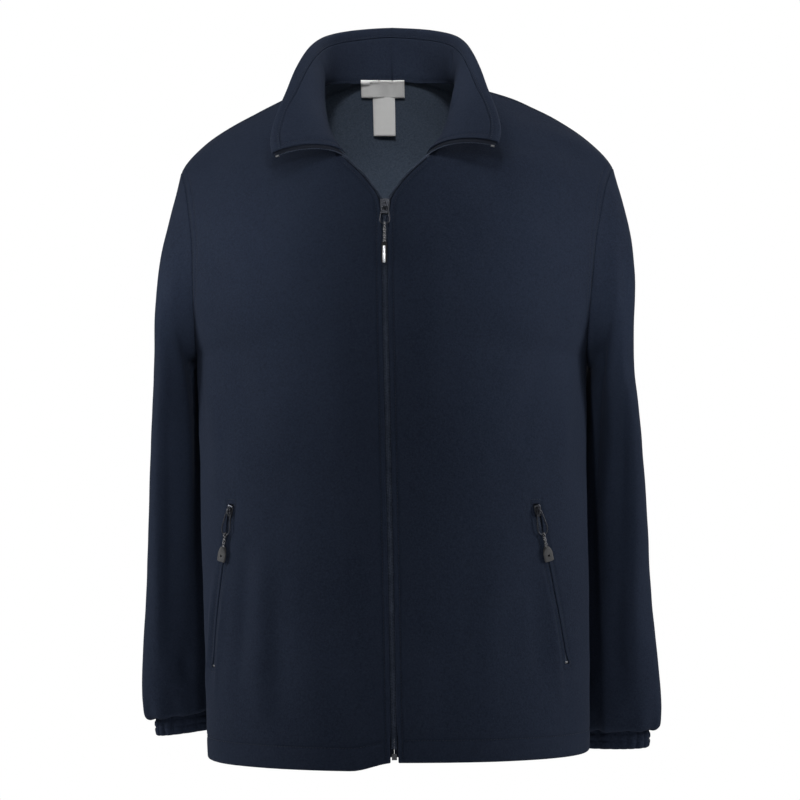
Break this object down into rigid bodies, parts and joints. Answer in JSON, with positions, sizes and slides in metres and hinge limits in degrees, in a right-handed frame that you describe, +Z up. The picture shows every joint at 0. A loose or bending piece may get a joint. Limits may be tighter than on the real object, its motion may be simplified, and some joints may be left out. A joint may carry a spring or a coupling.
{
  "type": "fleece zip jacket",
  "caption": "Hip-length navy fleece jacket with a full front zip, stand collar turned open, set-in sleeves, elastic cuffs and two zipped hand pockets, filled out as worn.",
  "frame": {"origin": "middle of the neck opening, level with the points where the shoulder seams meet the collar, where the wearer's shoulders carry it", "axes": "+Z up, -Y is the jacket's front, +X is the wearer's left"},
  "size_m": [0.5627, 0.2975, 0.7821],
  "materials": {
    "fleece": "napped navy microfleece, matt, 2.2 mm",
    "fleece_collar": "the same fleece in two layers",
    "fleece_cuff": "the same fleece gathered on elastic",
    "zip_tape": "woven polyester zip tape with a nylon coil",
    "dark_metal": "dark blue-grey lacquered zinc",
    "pull_cord": "twisted black and grey braided cord",
    "moulded_grey": "grey-black soft moulded plastic",
    "bright_metal": "bright pressed metal",
    "box_grey": "light grey moulded retainer box",
    "label_white": "blank woven label"
  },
  "bodies": {
    "jacket": {"back": "fleece", "collar_inner": "fleece_collar", "collar_outer": "fleece_collar", "cuff_left": "fleece_cuff", "cuff_right": "fleece_cuff", "front_left": "fleece", "front_right": "fleece", "label_care": "label_white", "label_main": "label_white", "pocket_slider_left": "dark_metal", "pocket_slider_right": "dark_metal", "pocket_stop_left": "bright_metal", "pocket_stop_right": "bright_metal", "pocket_zip_left": "zip_tape", "pocket_zip_right": "zip_tape", "sleeve_left": "fleece", "sleeve_right": "fleece", "zip_box": "box_grey", "zip_slider": "dark_metal", "zip_stop_left": "bright_metal", "zip_stop_right": "bright_metal", "zip_tape_left": "zip_tape", "zip_tape_right": "zip_tape"},
    "zip_pull": {"zip_pull_loop": "dark_metal", "zip_pull_cord": "pull_cord", "zip_pull_tip": "moulded_grey"},
    "pocket_pull_left": {"pocket_pull_loop_left": "dark_metal", "pocket_pull_cord_left": "pull_cord", "pocket_pull_tab_left": "moulded_grey"},
    "pocket_pull_right": {"pocket_pull_loop_right": "dark_metal", "pocket_pull_cord_right": "pull_cord", "pocket_pull_tab_right": "moulded_grey"}
  },
  "joints": [
    {"name": "zip_pull_swing", "type": "hinge", "parent": "jacket", "child": "zip_pull", "pos_m": [0.002, -0.13541, -0.13447], "axis": [-1, 0.0014, 0.0068], "range_deg": [0, 170]},
    {"name": "pocket_pull_left_swing", "type": "hinge", "parent": "jacket", "child": "pocket_pull_left", "pos_m": [0.15848, -0.10735, -0.44495], "axis": [-0.8271, -0.5085, -0.2396], "range_deg": [0, 170]},
    {"name": "pocket_pull_right_swing", "type": "hinge", "parent": "jacket", "child": "pocket_pull_right", "pos_m": [-0.16067, -0.0957, -0.44619], "axis": [-0.755, 0.6222, 0.207], "range_deg": [0, 170]}
  ]
}
